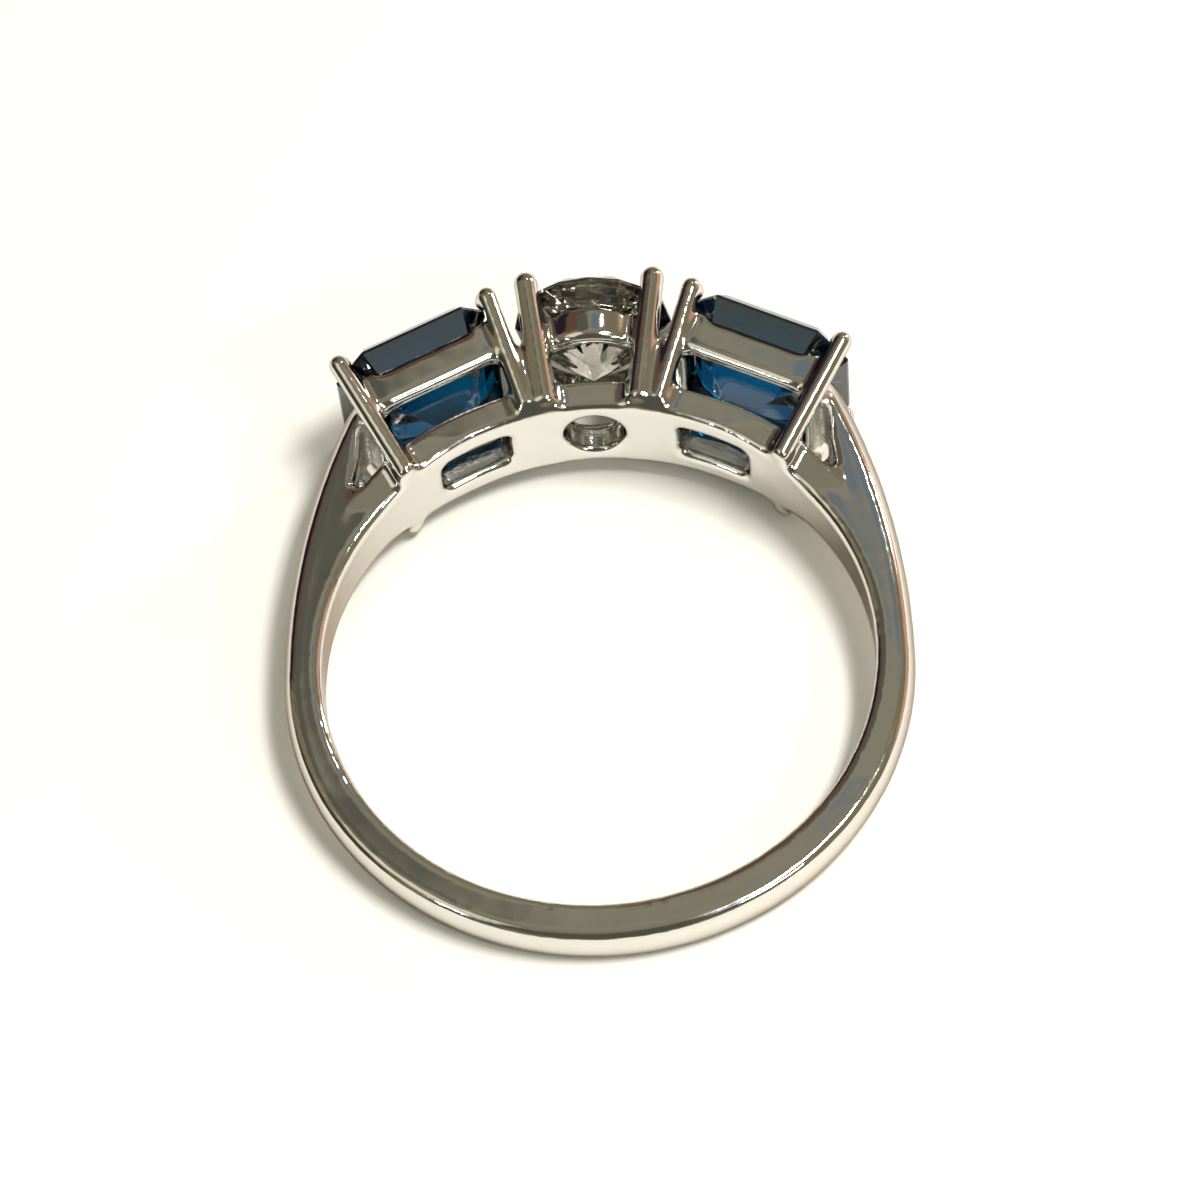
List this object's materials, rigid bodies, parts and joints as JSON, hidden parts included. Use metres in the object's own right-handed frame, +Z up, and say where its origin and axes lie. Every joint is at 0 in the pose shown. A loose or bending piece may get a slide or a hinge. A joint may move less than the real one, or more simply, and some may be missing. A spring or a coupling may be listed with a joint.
{
  "type": "three stone ring",
  "caption": "Polished white metal finger ring: a round brilliant between step cut blue stones in open claw settings, on forked shoulders and a slim domed band.",
  "frame": {"origin": "middle of the footprint, on the surface that the ring lies on", "axes": "+Y from the back of the band toward the stones, +X across the ring, +Z up; the finger hole's axis leans about 5 degrees off +Z, toward -Y"},
  "size_m": [0.019, 0.0229, 0.0051],
  "materials": {
    "white_metal": "polished white gold",
    "diamond": "clear, faceted and polished",
    "sapphire": "dark blue, faceted and polished"
  },
  "bodies": {
    "root": {"ring_mount": "white_metal", "diamond": "diamond", "sapphire_left": "sapphire", "sapphire_right": "sapphire"}
  },
  "joints": []
}
